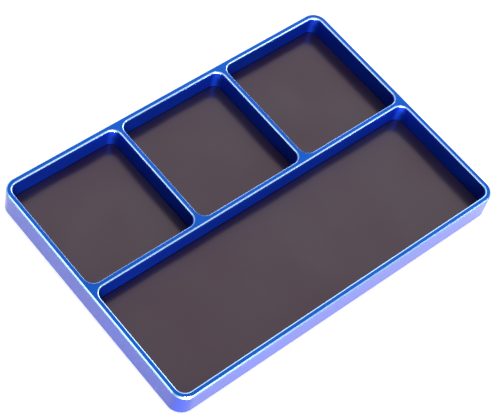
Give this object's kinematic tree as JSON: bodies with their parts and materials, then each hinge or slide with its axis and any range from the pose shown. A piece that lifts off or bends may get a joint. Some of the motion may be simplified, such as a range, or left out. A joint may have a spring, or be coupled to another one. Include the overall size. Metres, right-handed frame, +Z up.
{
  "type": "screw tray",
  "caption": "Flat machined aluminium tray with square pockets along one side and a full-length pocket along the other, each lined with a magnetic mat.",
  "frame": {"origin": "on the surface that the tray stands on, under the middle of the tray", "axes": "+X along the tray, +Y across it towards the short pockets, +Z up out of the pockets"},
  "size_m": [0.145, 0.1, 0.012],
  "materials": {
    "anodised_aluminium": "blue anodised, satin, with bright cut chamfers",
    "magnetic_sheet": "dark grey, smooth, slightly glossy",
    "foot_rubber": "black, matt"
  },
  "bodies": {
    "root": {"tray_body": "anodised_aluminium", "left_pocket_mat": "magnetic_sheet", "middle_pocket_mat": "magnetic_sheet", "right_pocket_mat": "magnetic_sheet", "long_pocket_mat": "magnetic_sheet", "foot_left_near": "foot_rubber", "foot_right_near": "foot_rubber", "foot_left_far": "foot_rubber", "foot_right_far": "foot_rubber"}
  },
  "joints": []
}
